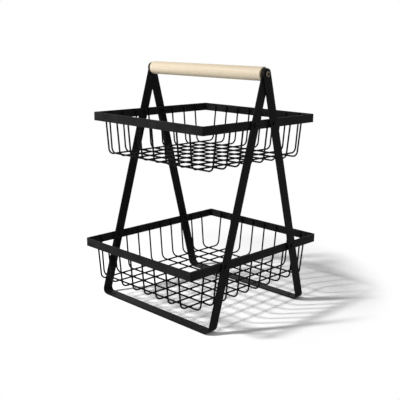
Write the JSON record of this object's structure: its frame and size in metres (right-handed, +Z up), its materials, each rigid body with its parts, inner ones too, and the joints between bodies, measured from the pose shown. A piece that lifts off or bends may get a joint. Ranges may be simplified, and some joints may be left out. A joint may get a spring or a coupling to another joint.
{
  "type": "tiered wire basket",
  "caption": "Free-standing tiered basket: open wire trays screwed between leaning flat-strap legs, carried by a round wooden handle across the top.",
  "frame": {"origin": "on the floor, under the middle of the handle", "axes": "+Z up, +X along the handle, -Y towards the front"},
  "size_m": [0.2708, 0.311, 0.4055],
  "materials": {
    "leg_straps": "satin black powder coat",
    "rim_strip": "satin black powder coat",
    "basket_wire": "satin black powder coat",
    "handle_wood": "pale beech, matt oil",
    "bolt_steel": "dull plated steel",
    "insert_brass": "plain",
    "black_fasteners": "black oxide",
    "foot_rubber": "matt black"
  },
  "bodies": {
    "stand": {"front_leg_frame": "leg_straps", "front_rim_screws": "black_fasteners", "front_rim_spacers": "black_fasteners", "lower_cross_wire_1": "basket_wire", "lower_cross_wire_10": "basket_wire", "lower_cross_wire_2": "basket_wire", "lower_cross_wire_3": "basket_wire", "lower_cross_wire_4": "basket_wire", "lower_cross_wire_5": "basket_wire", "lower_cross_wire_6": "basket_wire", "lower_cross_wire_7": "basket_wire", "lower_cross_wire_8": "basket_wire", "lower_cross_wire_9": "basket_wire", "lower_long_wire_1": "basket_wire", "lower_long_wire_2": "basket_wire", "lower_long_wire_3": "basket_wire", "lower_long_wire_4": "basket_wire", "lower_long_wire_5": "basket_wire", "lower_long_wire_6": "basket_wire", "lower_long_wire_7": "basket_wire", "lower_long_wire_8": "basket_wire", "lower_rim": "rim_strip", "rear_leg_frame": "leg_straps", "rear_rim_screws": "black_fasteners", "rear_rim_spacers": "black_fasteners", "rim_nuts": "black_fasteners", "rubber_foot_front_left": "foot_rubber", "rubber_foot_front_right": "foot_rubber", "rubber_foot_rear_left": "foot_rubber", "rubber_foot_rear_right": "foot_rubber", "upper_cross_wire_1": "basket_wire", "upper_cross_wire_2": "basket_wire", "upper_cross_wire_3": "basket_wire", "upper_cross_wire_4": "basket_wire", "upper_cross_wire_5": "basket_wire", "upper_cross_wire_6": "basket_wire", "upper_cross_wire_7": "basket_wire", "upper_cross_wire_8": "basket_wire", "upper_long_wire_1": "basket_wire", "upper_long_wire_2": "basket_wire", "upper_long_wire_3": "basket_wire", "upper_long_wire_4": "basket_wire", "upper_long_wire_5": "basket_wire", "upper_long_wire_6": "basket_wire", "upper_long_wire_7": "basket_wire", "upper_long_wire_8": "basket_wire", "upper_rim": "rim_strip"},
    "handle": {"handle_bolt_left": "bolt_steel", "handle_bolt_right": "bolt_steel", "handle_dowel": "handle_wood", "handle_insert_left": "insert_brass", "handle_insert_right": "insert_brass"}
  },
  "joints": [
    {"name": "handle_spin", "type": "hinge", "parent": "stand", "child": "handle", "pos_m": [0, 0, 0.3945], "axis": [1, 0, 0], "continuous": true}
  ]
}
